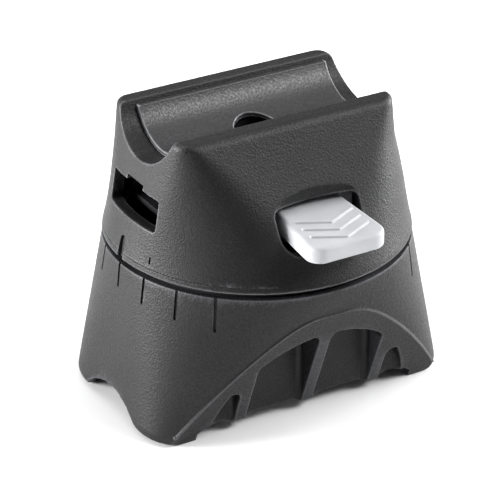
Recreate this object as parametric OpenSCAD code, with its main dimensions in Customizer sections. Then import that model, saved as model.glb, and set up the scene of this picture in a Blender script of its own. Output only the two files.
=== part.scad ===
// Swivelling lock carrier for a bicycle frame. Origin: on the swivel axis, on the plane of the
// feet. +Z is up, X runs along the cradle and the frame tube, and the release tab points to -Y.

/* [Swivel seam] */
// Diameter of both halves where they meet at the swivel
seam_d = 60; // [54:0.5:68]
// Height of the base's top face above the feet
base_h = 31.4; // [29:0.2:36]
// Open gap between the base and the latch housing
seam_gap = 1.2; // [0.8:0.1:2]

/* [Base] */
// Length of the base at the feet, along the tube
base_len = 66.8; // [62:0.2:72]
// Width of the base at the feet
base_wid = 41.6; // [39:0.2:48]
// Corner radius of the base at the feet
base_corner = 9; // [7:0.5:14]
// Width of the recessed face at the front and back, measured at the feet
arch_wid = 36.4; // [35:0.2:40]
// Lean of the recessed faces away from upright, in degrees
arch_lean = 21.6; // [20:0.1:23]
// Height of the cored pockets' crown
pocket_top = 20.3; // [17:0.1:22]
// Half width of the row of cored pockets at its foot
pocket_half = 21.9; // [18:0.1:24]
// Distance between the ribs
rib_pitch = 15; // [12:0.5:17]
// Thickness of a rib
rib_t = 2.5; // [1.6:0.1:4]
// Half width of the solid core behind the pockets
core_half = 18.4; // [17.5:0.1:19]
// Length of the raised lower edge between two feet
foot_span = 48; // [42:0.5:52]
// Height of that edge above the feet
foot_rise = 2.8; // [1:0.1:3.4]

/* [Tube saddle] */
// Diameter of the frame tube that the pad takes
tube_d = 25.4; // [23:0.2:27]
// Height of the pad's crown above the feet
saddle_h = 4.1; // [3.6:0.1:6]
// Thickness of the rubber pad
pad_t = 1.2; // [0.8:0.1:2]
// Length of the rubber pad
pad_len = 52; // [44:1:58]

/* [Latch housing] */
// Height of the latch housing above its rim
block_h = 26.6; // [24:0.1:30]
// Length of the housing's top
top_len = 47.6; // [43:0.2:54]
// Width of the housing's top over both cradle walls
top_wid = 27.2; // [26:0.2:31]
// Corner radius of the housing's top
top_corner = 2.6; // [2:0.1:5]
// Wall thickness of the housing
wall = 2.4; // [2:0.1:2.6]
// Height of the hollow inside the housing
hollow_h = 16.3; // [16.1:0.1:16.5]

/* [Cradle] */
// Diameter of the bar that the cradle takes
bar_d = 20; // [18:0.2:22]
// Depth of the cradle below the top of its walls
cradle_depth = 6.4; // [5.5:0.1:8]
// Thickness of the cradle liner
liner_t = 0.9; // [0.7:0.1:1.4]
// Length of each bare ledge beyond the liner
liner_inset = 3.1; // [1:0.1:5]

/* [Tongue slot] */
// Width of the slot for the lock's tongue
slot_w = 17.2; // [15:0.1:18]
// Height of the slot without its key
slot_h = 6.3; // [5.8:0.1:6.5]
// Height of the slot's floor above the feet
slot_z = 40.7; // [40.4:0.1:41]
// Width of the key along the slot's roof
key_w = 6; // [4:0.1:8]
// Height of the key
key_h = 1; // [0.6:0.1:1.2]
// Distance of the slot's blind end from the swivel axis
slot_end = 8.6; // [8.4:0.1:9.5]

/* [Release tab] */
// Width of the tab at its nose
tab_w = 16.4; // [15:0.1:17]
// Width of the tab where it leaves the housing
tab_neck = 13.6; // [12:0.1:15]
// How far the tab's nose stands in front of the swivel axis
tab_reach = 34.4; // [33:0.1:36]
// Thickness of the tab at its nose
tab_t = 3.2; // [2.6:0.1:3.6]
// Height of the tab's lower edge at the nose
tab_z = 40.4; // [40:0.1:40.6]
// Rise of the tab's top towards the housing, in degrees
tab_slope = 4.4; // [2:0.1:6]
// Travel of the tab when it is pushed in
tab_travel = 3; // [2:0.1:3]
// Number of chevron ridges on the tab
chevrons = 3; // [2:1:4]
// Gap between the tab and its window on each side
window_gap = 0.8; // [0.5:0.1:1.5]

/* [Swivel] */
// Diameter of the clamp screw's thread
screw_d = 5; // [4:0.5:5]
// Number of index marks on each side of the base
marks = 7; // [3:2:9]
// Angle between index marks, in degrees
mark_step = 15; // [10:1:15]
// Swivel range each way, in degrees
swivel_range = 45; // [30:5:60]

/* [Hidden] */
$fn = 64;

// small clearances
run = 0.05;      // running fit, on the radius
seat = 0.2;      // between parts of one body that seat on each other
free = 0.3;      // between parts that move past each other
over = 1;        // how far a cutter stands past the face that it cuts

// loft of both shells
loft_pts = 18;   // points on a quarter turn
base_steps = 10;
block_steps = 16;
rim_ease = 0.06; // the share of the height over which the housing's rim runs upright
len_bow = 0.85;
wid_bow = 0.9;
foot_fillet = [[0, 2.2], [0.5, 1.1], [1.4, 0.35], [2.6, 0]];
top_fillet = [[1.3, 0], [0.6, 0.2], [0.2, 0.5], [0, 1]];

seam_r = seam_d / 2;
block_z = base_h + seam_gap;
top_z = block_z + block_h;
ceiling_z = block_z + hollow_h;

// cradle
bar_r = bar_d / 2;
bar_z = top_z - cradle_depth + bar_r;
liner_len = top_len - 2 * liner_inset;
liner_drop = 0.9;

// saddle
pad_r = tube_d / 2;
tube_z = saddle_h - pad_r;
pad_angle = 40;

// swivel stack, from the nut up to the screw's head
nut_af = 1.6 * screw_d;
nut_h = 4.6;
nut_z = saddle_h + pad_t + 1.9;
screw_r = screw_d / 2;
sleeve_r = screw_r + 1;
sleeve_z = 20;
head_r = 1.7 * screw_r;
head_h = screw_d;
hex_socket = 0.8 * screw_d;
well_r = head_r + 1;
well_z = bar_z - bar_r - 8.5;
washer_t = 1;
spring_t = 1.2;
head_z = well_z + run + washer_t + spring_t;
boss_r = well_r + 2.25;
sight_r = head_r + 0.15;

// turntable and what it runs on
plate_r = seam_r - wall - 1.8;
plate_t = 2.5;
plate_z = block_z - free;
plate_top = plate_z + plate_t;
thrust_out = plate_r - 1.4;
thrust_in = thrust_out - 6;
thrust_t = 1.6;
thrust_z = plate_z - run * 2 - thrust_t;
seal_out = seam_r - 1.6;
seal_in = seal_out - 1.8;
seal_z = base_h - 2.2;
fix_r = plate_r - 3.8;
fix_boss_r = 2.8;
fix_screw_r = 1.45;
fix_head_r = 2.6;
fix_head_h = 1.6;
fix_len = 8.5;
bush_r = sleeve_r + 1.5;
bush_flange_t = 1.5;
bush_flange_r = bush_r + bush_flange_t;
stop_r = 13;
stop_pin_r = 1.5;
stop_floor = base_h - 3;
stop_slack = 1;

// index marks
mark_w = 0.7;
mark_d = 0.45;
mark_len = 5;
mark_grow = 1.7;
pointer_w = 0.9;
pointer_len = 4.4;

// latch
frame_t = 1.2;
frame_front = slot_w / 2 + frame_t;
frame_reach = seam_r - wall - 3.52;
frame_left = sqrt(pow(frame_reach, 2) - pow(frame_front, 2));
frame_right = 14;
leg_w = 3;
plate_gap = 0.4;
catch_t = 1.6;
catch_z = slot_z - frame_t - plate_gap - catch_t;
catch_in = 2.2;
catch_x = [-17, -12];
arm_gap = 0.45;
arm_y = [-fix_r / sqrt(2) + fix_boss_r + arm_gap, -slot_w / 2 + free];
head_x = [-9.5, 9];
head_lap = 1.4;
hook_y = slot_w / 2 - catch_in;
hook_top = slot_z + 4.2;
hook_lead = 2.2;

// release tab and its block inside the housing
tab_r = 3;
shoe_t = 4;
block_back = frame_front + tab_travel + 2 * free;
block_front = block_back + shoe_t;
tab_root = block_front + 2 * free;
tab_inner = tab_root - 2;
window_w = tab_w + 2 * window_gap;
block_wid = window_w + 3.2;
shoe_z = catch_z + catch_t + run;
shoe_top = 45.9;
window_z = tab_z - 2.2;
window_top = 46.1;
window_back = block_front - 1.4;
window_r = 3.8;
window_lip_r = 1;
chev_t = 0.35;
chev_w = 0.9;
chev_pitch = 2.8;
chev_half = 6.2;
chev_slant = 24;
chev_first = tab_reach - 1.5;
rivet_r = 1.1;
rivet_x = [-3.4, 3.4];
rivet_y = -(block_front + block_back) / 2;
rivet_head_r = 1.8;
rivet_head_h = 0.8;
rivet_len = 3;

// return springs
coil_r = 2.4;
coil_wire = 0.5;
coil_x = block_wid / 2 - coil_r - free;
coil_seat = 1.9;
coil_mid_z = 42.6;

// ---- shapes that both shells share ----

// Rounded rectangle of half length a, half width b and corner radius r at height z
function ring(a, b, r, z) = [
    for (q = [0:3]) for (i = [0:loft_pts - 1])
        let (ang = 90 * q + 90 * (i + 0.5) / loft_pts,
             sx = (q == 0 || q == 3) ? 1 : -1,
             sy = q < 2 ? 1 : -1)
        [sx * (a - r) + r * cos(ang), sy * (b - r) + r * sin(ang), z]
];

// Closed skin through a list of rings, with a flat cap at each end
module skin(rings) {
    n = len(rings[0]);
    m = len(rings);
    sides = [
        for (k = [0:m - 2]) for (i = [0:n - 1])
            let (j = (i + 1) % n, a = k * n, b = (k + 1) * n)
            each [[a + i, b + j, a + j], [a + i, b + i, b + j]]
    ];
    low = [for (i = [0:n - 1]) i];
    high = [for (i = [0:n - 1]) m * n - 1 - i];
    polyhedron(points = [for (r = rings) each r], faces = concat([low], sides, [high]));
}

// Distance from the axis to a rounded rectangle's corner arc in a direction
function reach(a, b, r, ang) =
    let (cx = a - r, cy = b - r, along = cx * abs(cos(ang)) + cy * abs(sin(ang)))
    along + sqrt(max(0, along * along - cx * cx - cy * cy + r * r));

// ---- base ----

function base_share(z) = (base_h - z) / base_h;
function base_a(z) = seam_r + (base_len / 2 - seam_r) * base_share(z);
function base_b(z) = seam_r + (base_wid / 2 - seam_r) * base_share(z);
function base_r(z) = seam_r + (base_corner - seam_r) * base_share(z);
function base_ring(z, d = 0) = ring(base_a(z) - d, base_b(z) - d, base_r(z) - d, z);

module base_skin() {
    feet_z = foot_fillet[len(foot_fillet) - 1][0];
    skin(concat(
        [for (f = foot_fillet) base_ring(f[0], f[1])],
        [for (k = [1:base_steps]) base_ring(feet_z + (base_h - feet_z) * k / base_steps)]
    ));
}

// Everything in front of one leaning face
module arch_cut() {
    low = -over;
    rise = base_h + over;
    rotate([90, 0, 90]) linear_extrude(base_len + 2 * over, center = true) polygon([
        [-arch_wid / 2 - low * tan(arch_lean), low],
        [-arch_wid / 2 - rise * tan(arch_lean), rise],
        [-base_len, rise],
        [-base_len, low]
    ]);
}

// The row of pockets between the ribs, as wide as the face leans
module pockets() {
    r = (pow(pocket_half, 2) + pow(pocket_top, 2)) / (2 * pocket_top);
    ribs = [-rib_pitch, 0, rib_pitch];
    translate([0, -core_half, 0]) rotate([90, 0, 0]) linear_extrude(core_half) difference() {
        translate([0, pocket_top - r]) circle(r);
        for (x = ribs) translate([x - rib_t / 2, -r]) square([rib_t, 3 * r]);
        translate([-2 * r, -2 * r]) square([4 * r, 2 * r]);
    }
}

// One index mark: a groove that follows the skin down from the rim
module mark(ang, length) {
    low_z = base_h - length;
    top_reach = reach(base_a(base_h), base_b(base_h), base_r(base_h), ang);
    low_reach = reach(base_a(low_z), base_b(low_z), base_r(low_z), ang);
    lean = atan((low_reach - top_reach) / length);
    rotate(ang) translate([top_reach - mark_d, 0, base_h]) rotate([0, lean * -1, 0])
        translate([0, -mark_w / 2, -length]) cube([2 * over, mark_w, length + over]);
}

module marks_on(side) {
    half = (marks - 1) / 2;
    for (k = [-half:half])
        mark(side + k * mark_step, mark_len + mark_grow * pow(k / max(1, half), 2));
}

module stop_track() {
    track_angle = swivel_range + stop_slack;
    rotate(-track_angle) rotate_extrude(angle = 2 * track_angle)
        translate([stop_r - stop_pin_r - free, stop_floor])
            square([2 * (stop_pin_r + free), base_h]);
    for (s = [-1, 1]) rotate(s * track_angle) translate([stop_r, 0, stop_floor])
        cylinder(r = stop_pin_r + free, h = base_h);
}

module tube(r_out, r_in, h) {
    difference() {
        cylinder(r = r_out, h = h);
        translate([0, 0, -over]) cylinder(r = r_in, h = h + 2 * over);
    }
}

module base_body() color([0.13, 0.13, 0.14]) difference() {
    base_skin();
    arch_cut();
    mirror([0, 1, 0]) arch_cut();
    pockets();
    mirror([0, 1, 0]) pockets();
    translate([-foot_span / 2, -base_wid, -over]) cube([foot_span, 2 * base_wid, foot_rise + over]);
    translate([-base_len, 0, tube_z]) rotate([0, 90, 0]) cylinder(r = pad_r + pad_t, h = 2 * base_len);
    marks_on(0);
    marks_on(180);
    stop_track();
    // seats of the seal, the thrust washer, the sleeve and the nut
    translate([0, 0, seal_z]) tube(seal_out + seat, seal_in - seat, base_h);
    translate([0, 0, thrust_z]) tube(thrust_out + seat, thrust_in - seat, base_h);
    translate([0, 0, sleeve_z]) cylinder(r = sleeve_r + run, h = base_h);
    cylinder(r = screw_r + seat, h = base_h);
    cylinder(r = (nut_af + seat) / sqrt(3), h = nut_z + nut_h + seat, $fn = 6);
}

module frame_pad() color([0.07, 0.07, 0.08]) difference() {
    translate([-pad_len / 2, 0, tube_z]) rotate([0, 90, 0]) rotate(180 - pad_angle)
        rotate_extrude(angle = 2 * pad_angle)
            translate([pad_r, 0]) square([pad_t - run, pad_len]);
    cylinder(r = nut_af * 0.7, h = base_h, center = true);
}

module captive_nut() color([0.72, 0.72, 0.7]) translate([0, 0, nut_z]) difference() {
    cylinder(r = nut_af / sqrt(3), h = nut_h, $fn = 6);
    translate([0, 0, -over]) cylinder(r = screw_r + run, h = nut_h + 2 * over);
}

module pivot_sleeve() color([0.75, 0.75, 0.74])
    translate([0, 0, sleeve_z + run]) tube(sleeve_r, screw_r + seat, well_z - sleeve_z - free);

module pivot_screw() color([0.16, 0.16, 0.17]) difference() {
    union() {
        translate([0, 0, head_z]) cylinder(r = head_r, h = head_h);
        translate([0, 0, nut_z - over]) cylinder(r = screw_r, h = head_z - nut_z + 2 * over);
    }
    translate([0, 0, head_z + head_h / 2]) cylinder(r = hex_socket / sqrt(3), h = head_h, $fn = 6);
}

module head_washer() color([0.75, 0.75, 0.74])
    translate([0, 0, well_z + run]) tube(well_r - seat, screw_r + seat, washer_t - run);

module spring_washer() color([0.6, 0.6, 0.6])
    translate([0, 0, head_z - spring_t]) difference() {
        tube(head_r, screw_r + seat, spring_t - run);
        translate([0, -run * 4, -over]) cube([head_r + over, run * 8, spring_t + 2 * over]);
    }

module thrust_washer() color([0.85, 0.84, 0.8])
    translate([0, 0, thrust_z + run]) tube(thrust_out, thrust_in, thrust_t);

module seal_ring() color([0.04, 0.04, 0.04])
    translate([0, 0, seal_z + run]) tube(seal_out, seal_in, block_z - free - seal_z);

// ---- latch housing ----

function eased(t) = t * t * (1 + rim_ease) / (t + rim_ease);
function block_share(z) = eased((z - block_z) / block_h);
function block_a(z) = seam_r + (top_len / 2 - seam_r) * pow(block_share(z), len_bow);
function block_b(z) = seam_r + (top_wid / 2 - seam_r) * pow(block_share(z), wid_bow);
function block_r(z) = seam_r + (top_corner - seam_r) * block_share(z);
function block_ring(z, d = 0) = ring(block_a(z) - d, block_b(z) - d, block_r(z) - d, z);

// Outer skin and hollow in one closed surface, open at the bottom
module housing_shell() {
    fillet_z = top_z - top_fillet[0][0];
    inner = [for (k = [block_steps:-1:0]) block_ring(block_z + hollow_h * k / block_steps, wall)];
    outer = [for (k = [0:block_steps]) block_ring(block_z + (fillet_z - block_z) * k / block_steps)];
    rim = [for (f = top_fillet) block_ring(top_z - f[0], f[1])];
    skin(concat(inner, outer, [for (k = [1:len(rim) - 1]) rim[k]]));
}

module slot_profile(grow = 0) {
    translate([-slot_w / 2 - grow, -grow]) square([slot_w + 2 * grow, slot_h + 2 * grow]);
    translate([-key_w / 2 - grow, slot_h / 2]) square([key_w + 2 * grow, slot_h / 2 + key_h + grow]);
}

module slot_space(from_x, to_x, grow = 0) {
    translate([from_x, 0, slot_z]) rotate([90, 0, 90]) linear_extrude(to_x - from_x)
        slot_profile(grow);
}

module window_shape() {
    tall = window_top - window_z;
    hull() {
        for (s = [-1, 1]) {
            translate([s * (window_w / 2 - window_r), window_r]) circle(window_r, $fn = 32);
            translate([s * (window_w / 2 - window_lip_r), tall - window_lip_r])
                circle(window_lip_r, $fn = 32);
        }
    }
}

module window_cut() {
    translate([0, -window_back, window_z]) rotate([90, 0, 0])
        linear_extrude(seam_r) window_shape();
}

module fix_places() {
    for (q = [0:3]) rotate(45 + 90 * q) translate([fix_r, 0, 0]) children();
}

module latch_housing() color([0.14, 0.14, 0.15]) difference() {
    union() {
        housing_shell();
        translate([0, 0, plate_top + bush_flange_t + seat])
            cylinder(r = boss_r, h = ceiling_z - plate_top);
        fix_places() translate([0, 0, plate_top + seat])
            cylinder(r = fix_boss_r, h = ceiling_z - plate_top);
    }
    translate([-seam_r, 0, bar_z]) rotate([0, 90, 0]) cylinder(r = bar_r + liner_t, h = seam_d);
    slot_space(-seam_r - over, -slot_end - boss_r);
    window_cut();
    translate([0, 0, block_z - over]) cylinder(r = sleeve_r + run, h = top_z);
    translate([0, 0, well_z]) cylinder(r = well_r, h = top_z);
    fix_places() translate([0, 0, block_z]) cylinder(r = fix_screw_r, h = fix_len - 1);
    // pointer groove at the rim, over the middle index mark
    translate([-seam_r - over, -pointer_w / 2, block_z - over])
        cube([over + mark_d, pointer_w, pointer_len + over]);
}

module trough_liner() color([0.12, 0.12, 0.13]) difference() {
    translate([-liner_len / 2, 0, bar_z]) rotate([0, 90, 0])
        difference() {
            cylinder(r = bar_r + liner_t - run, h = liner_len);
            translate([0, 0, -over]) cylinder(r = bar_r, h = liner_len + 2 * over);
        }
    translate([-top_len, -top_wid, top_z - liner_drop]) cube([2 * top_len, 2 * top_wid, top_z]);
    translate([0, 0, well_z]) cylinder(r = sight_r, h = top_z);
}

module turntable_plate() color([0.16, 0.16, 0.17]) difference() {
    translate([0, 0, plate_z]) cylinder(r = plate_r, h = plate_t);
    translate([0, 0, plate_z - over]) cylinder(r = bush_r + run, h = plate_t + 2 * over);
    translate([stop_r, 0, plate_z - over]) cylinder(r = stop_pin_r + run, h = plate_t + 2 * over);
    fix_places() translate([0, 0, plate_z]) {
        translate([0, 0, -over]) cylinder(r = fix_screw_r + seat, h = plate_t + 2 * over);
        translate([0, 0, -over]) cylinder(r = fix_head_r + seat, h = fix_head_h + over);
    }
}

module turntable_screws() color([0.6, 0.6, 0.6]) fix_places() difference() {
    union() {
        translate([0, 0, plate_z + seat]) cylinder(r = fix_head_r, h = fix_head_h - seat - run);
        translate([0, 0, plate_z + seat]) cylinder(r = fix_screw_r - run, h = fix_len - 1.5);
    }
    translate([0, 0, plate_z]) cylinder(r = fix_screw_r * 0.8, h = fix_head_h * 0.7, $fn = 6);
}

module pivot_bush() color([0.88, 0.87, 0.83]) difference() {
    union() {
        translate([0, 0, plate_z]) cylinder(r = bush_r, h = plate_t + bush_flange_t / 2);
        translate([0, 0, plate_top + run]) cylinder(r = bush_flange_r, h = bush_flange_t);
    }
    translate([0, 0, plate_z - over]) cylinder(r = sleeve_r + run, h = plate_t + 3 * over);
}

module stop_pin() color([0.7, 0.7, 0.7])
    translate([stop_r, 0, stop_floor + free]) cylinder(r = stop_pin_r, h = plate_top - stop_floor - free);

// ---- latch inside the housing ----

module hook_space() {
    translate([catch_x[0] - free, hook_y - free, catch_z])
        cube([catch_x[1] - catch_x[0] + 2 * free, catch_t + tab_travel + 2 * free,
              hook_top - catch_z + free]);
}

module latch_frame() color([0.2, 0.2, 0.21]) difference() {
    union() {
        translate([-frame_left, -frame_front, slot_z - frame_t])
            cube([frame_left - slot_end, 2 * frame_front, ceiling_z - seat - slot_z + frame_t]);
        translate([-slot_end - over, -frame_front, slot_z - frame_t])
            cube([slot_end + over + frame_right, frame_t, slot_h + frame_t]);
        // legs that stand on the turntable plate
        for (at = [[-frame_left, -frame_front], [-frame_left, frame_front - frame_t],
                   [frame_right - leg_w, -frame_front]])
            translate([at[0], at[1], plate_top + seat])
                cube([leg_w, frame_t, slot_z - plate_top - seat]);
    }
    slot_space(-frame_left - over, -slot_end - frame_t);
    hook_space();
}

module latch_plate() color([0.72, 0.72, 0.7]) difference() {
    union() {
        translate([0, 0, catch_z]) linear_extrude(catch_t) {
            translate([head_x[0], -block_front])
                square([head_x[1] - head_x[0], block_front + arm_y[0] + head_lap]);
            translate([catch_x[0], arm_y[0]])
                square([head_x[0] + over - catch_x[0], arm_y[1] - arm_y[0]]);
            translate([catch_x[0], arm_y[0]])
                square([catch_x[1] - catch_x[0], hook_y + catch_t - arm_y[0]]);
        }
        translate([catch_x[0], hook_y, catch_z]) difference() {
            cube([catch_x[1] - catch_x[0], catch_t, hook_top - catch_z]);
            // lead-in for the tongue
            translate([0, -over, hook_top - catch_z - hook_lead]) rotate([0, -45, 0])
                cube([2 * hook_lead, catch_t + 2 * over, 2 * hook_lead]);
        }
    }
    for (x = rivet_x) translate([x, rivet_y, catch_z - over])
        cylinder(r = rivet_r + run, h = catch_t + 2 * over);
}

module latch_rivets() color([0.8, 0.8, 0.8]) for (x = rivet_x) translate([x, rivet_y, 0]) {
    translate([0, 0, catch_z - rivet_head_h]) cylinder(r = rivet_head_r, h = rivet_head_h - run);
    translate([0, 0, catch_z - rivet_head_h / 2]) cylinder(r = rivet_r, h = catch_t + rivet_len);
}

// ---- release tab ----

module tab_plan(grow = 0) {
    nose = tab_reach - tab_r;
    hull() {
        for (s = [-1, 1]) translate([s * (tab_w / 2 - tab_r), -nose]) circle(tab_r + grow);
        translate([-tab_neck / 2 - grow, -tab_root])
            square([tab_neck + 2 * grow, tab_root - tab_inner]);
    }
}

function tab_top(y) = tab_z + tab_t + (tab_reach + y) * tan(tab_slope);

// Side view of the tab, drawn as y against z
module tab_side(lift = 0) {
    polygon([
        [-tab_reach - over, tab_z],
        [-tab_inner, tab_z],
        [-tab_inner, tab_top(-tab_inner) + lift],
        [-tab_reach - over, tab_top(-tab_reach - over) + lift]
    ]);
}

module chevron(k) {
    y = -chev_first + k * chev_pitch;
    intersection() {
        translate([0, y, 0]) linear_extrude(top_z) for (s = [-1, 1])
            rotate(s * chev_slant) translate([s > 0 ? 0 : -chev_half / cos(chev_slant), 0])
                square([chev_half / cos(chev_slant), chev_w]);
        rotate([90, 0, 90]) linear_extrude(tab_w, center = true) tab_side(chev_t);
        translate([0, 0, tab_z]) linear_extrude(top_z - tab_z) tab_plan(-0.4);
    }
}

module release_button() color([0.66, 0.67, 0.69]) difference() {
    union() {
        intersection() {
            rotate([90, 0, 90]) linear_extrude(tab_w + 2, center = true) tab_side();
            translate([0, 0, tab_z - over]) linear_extrude(top_z - tab_z) tab_plan();
        }
        for (k = [0:chevrons - 1]) chevron(k);
        translate([-block_wid / 2, -block_front, shoe_z])
            cube([block_wid, block_front - block_back, shoe_top - shoe_z]);
    }
    for (s = [-1, 1]) translate([s * coil_x, -block_back + over, coil_mid_z]) rotate([90, 0, 0])
        cylinder(r = coil_r + free, h = coil_seat + over);
    for (x = rivet_x) translate([x, rivet_y, 0])
        cylinder(r = rivet_r + run, h = catch_z + catch_t + rivet_len);
}

module return_springs() color([0.75, 0.75, 0.75]) for (s = [-1, 1])
    translate([s * coil_x, -frame_front - run, coil_mid_z]) rotate([90, 0, 0])
        tube(coil_r, coil_r - coil_wire, block_back + coil_seat - frame_front - 2 * run);

base_body();
frame_pad();
captive_nut();
pivot_sleeve();
pivot_screw();
head_washer();
spring_washer();
thrust_washer();
seal_ring();
latch_housing();
trough_liner();
turntable_plate();
turntable_screws();
pivot_bush();
stop_pin();
latch_frame();
release_button();
latch_plate();
latch_rivets();
return_springs();
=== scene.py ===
import math

import bmesh
import bpy
import numpy as np
from mathutils import Matrix, Vector


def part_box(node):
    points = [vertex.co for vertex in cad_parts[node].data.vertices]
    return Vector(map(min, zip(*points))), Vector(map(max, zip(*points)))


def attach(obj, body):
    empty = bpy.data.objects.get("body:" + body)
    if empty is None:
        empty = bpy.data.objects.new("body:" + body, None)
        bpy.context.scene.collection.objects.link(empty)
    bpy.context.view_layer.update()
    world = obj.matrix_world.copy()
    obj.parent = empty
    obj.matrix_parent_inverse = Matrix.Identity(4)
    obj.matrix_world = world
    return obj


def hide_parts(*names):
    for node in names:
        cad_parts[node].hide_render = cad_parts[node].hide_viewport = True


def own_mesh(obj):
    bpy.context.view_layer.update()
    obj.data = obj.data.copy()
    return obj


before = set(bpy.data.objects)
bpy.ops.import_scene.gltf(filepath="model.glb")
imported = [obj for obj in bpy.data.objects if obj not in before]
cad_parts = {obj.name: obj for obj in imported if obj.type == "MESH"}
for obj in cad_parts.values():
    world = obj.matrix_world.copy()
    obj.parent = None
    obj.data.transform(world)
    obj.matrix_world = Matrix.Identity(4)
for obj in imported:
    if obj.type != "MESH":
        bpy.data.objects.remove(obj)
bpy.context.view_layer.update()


# ---- Base body ----
# The fixed lower half: one thick moulding in black glass-filled nylon, round at the top and square at the
# feet, with a leaning face and cored pockets on each side. Index marks are cut down from its rim.

MM = 0.001
base_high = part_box("base_body")[1]
base_top = base_high.z / MM
seam_r = 30.0
foot_len = base_high.x / MM
foot_wid = 20.8
foot_corner = 9.0


def outline(half_len, half_wid, corner, z, quarter=88):
    """A rounded rectangle as a ring of evenly spaced points, eased where a flat runs into a corner."""
    flat_x, flat_y, arc = half_len - corner, half_wid - corner, corner * math.pi / 2
    along = (np.arange(quarter) + 0.5) * (flat_x + flat_y + arc) / quarter
    turn = np.clip((along - flat_y) / corner, 0, math.pi / 2)
    x = flat_x + corner * np.cos(turn) - np.clip(along - flat_y - arc, 0, None)
    y = np.minimum(along, flat_y) + corner * np.sin(turn)
    x = np.concatenate([x, -x[::-1], -x, x[::-1]])
    y = np.concatenate([y, y[::-1], -y, -y[::-1]])
    ease = min(0.3 * corner, 3.0) * quarter / (flat_x + flat_y + arc)
    blur = np.exp(-0.5 * (2 * math.pi * np.fft.fftfreq(4 * quarter) * ease) ** 2)
    ring = np.fft.ifft(np.fft.fft(x + 1j * y) * (2 * blur - blur ** 2))
    return [(float(p.real), float(p.imag), z) for p in ring]


def skin(name, rings):
    """A closed solid through rings of points that all have the same count."""
    mesh = bmesh.new()
    rows = [[mesh.verts.new(p) for p in ring] for ring in rings]
    for low, high in zip(rows, rows[1:]):
        for i in range(len(low)):
            j = (i + 1) % len(low)
            mesh.faces.new((low[i], low[j], high[j], high[i]))
    mesh.faces.new(list(reversed(rows[0])))
    mesh.faces.new(rows[-1])
    bmesh.ops.triangulate(mesh, faces=[f for f in mesh.faces if len(f.verts) > 4])
    bmesh.ops.recalc_face_normals(mesh, faces=mesh.faces)
    data = bpy.data.meshes.new(name)
    mesh.to_mesh(data)
    mesh.free()
    solid = bpy.data.objects.new(name, data)
    bpy.context.scene.collection.objects.link(solid)
    return solid


def prism(points, low, high, axis="z"):
    """A flat outline pushed along one axis. The points are the other two axes, in their usual order."""
    turn = {"x": lambda u, v, w: (w, u, v), "y": lambda u, v, w: (u, w, v),
            "z": lambda u, v, w: (u, v, w)}[axis]
    return skin("cutter", [[turn(u, v, w) for u, v in points] for w in (low, high)])


def lathe(name, profile, steps=128, axis="z", centre=(0, 0, 0)):
    """A solid turned from (radius, height) points, about the upright axis or about X."""
    rings = []
    for radius, height in profile:
        ring = []
        for i in range(steps):
            angle = 2 * math.pi * i / steps
            u, v = max(radius, 1e-4) * math.cos(angle), max(radius, 1e-4) * math.sin(angle)
            ring.append((centre[0] + height, centre[1] + u, centre[2] + v) if axis == "x"
                        else (centre[0] + u, centre[1] + v, centre[2] + height))
        rings.append(ring)
    return skin(name, rings)


def on_circle(radius, degrees):
    return radius * math.cos(math.radians(degrees)), radius * math.sin(math.radians(degrees))


def bore(radius, low, high, steps=64, axis="z", centre=(0, 0, 0), name="cutter"):
    """A plain round bar, mostly to cut with."""
    return lathe(name, [(0, low), (radius, low), (radius, high), (0, high)], steps, axis, centre)


def hoop(name, section, steps=192):
    """A ring turned about the upright axis from a closed (radius, height) section."""
    mesh = bmesh.new()
    rows = []
    for i in range(steps):
        angle = 2 * math.pi * i / steps
        rows.append([mesh.verts.new((r * math.cos(angle), r * math.sin(angle), z)) for r, z in section])
    for k in range(steps):
        near, far = rows[k], rows[(k + 1) % steps]
        for i in range(len(section)):
            j = (i + 1) % len(section)
            mesh.faces.new((near[i], near[j], far[j], far[i]))
    bmesh.ops.recalc_face_normals(mesh, faces=mesh.faces)
    data = bpy.data.meshes.new(name)
    mesh.to_mesh(data)
    mesh.free()
    ring = bpy.data.objects.new(name, data)
    bpy.context.scene.collection.objects.link(ring)
    return ring


def bake_in(solid):
    """Applies the solid's modifiers."""
    bpy.context.view_layer.update()
    made = bpy.data.meshes.new_from_object(solid.evaluated_get(bpy.context.evaluated_depsgraph_get()))
    solid.modifiers.clear()
    old = solid.data
    solid.data = made
    bpy.data.meshes.remove(old)


def join(solid, others, how="DIFFERENCE"):
    """Cuts the other solids from this one, or adds them to it, and removes them."""
    for other in others:
        step = solid.modifiers.new("join", "BOOLEAN")
        step.solver = "MANIFOLD"
        step.operation = how
        step.object = other
        bake_in(solid)
        bpy.data.objects.remove(other)


def mould(solid, grid, soften, faces):
    """Draws the solid again on a fine grid and softens its edges, as a moulding's are, in millimetres."""
    cast = solid.modifiers.new("cast", "REMESH")
    cast.mode = "VOXEL"
    cast.voxel_size = grid
    soft = solid.modifiers.new("soft", "SMOOTH")
    soft.factor = 0.5
    soft.iterations = soften
    bake_in(solid)
    thin = solid.modifiers.new("thin", "DECIMATE")
    thin.ratio = min(1.0, faces / (2 * len(solid.data.polygons)))
    bake_in(solid)


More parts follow.
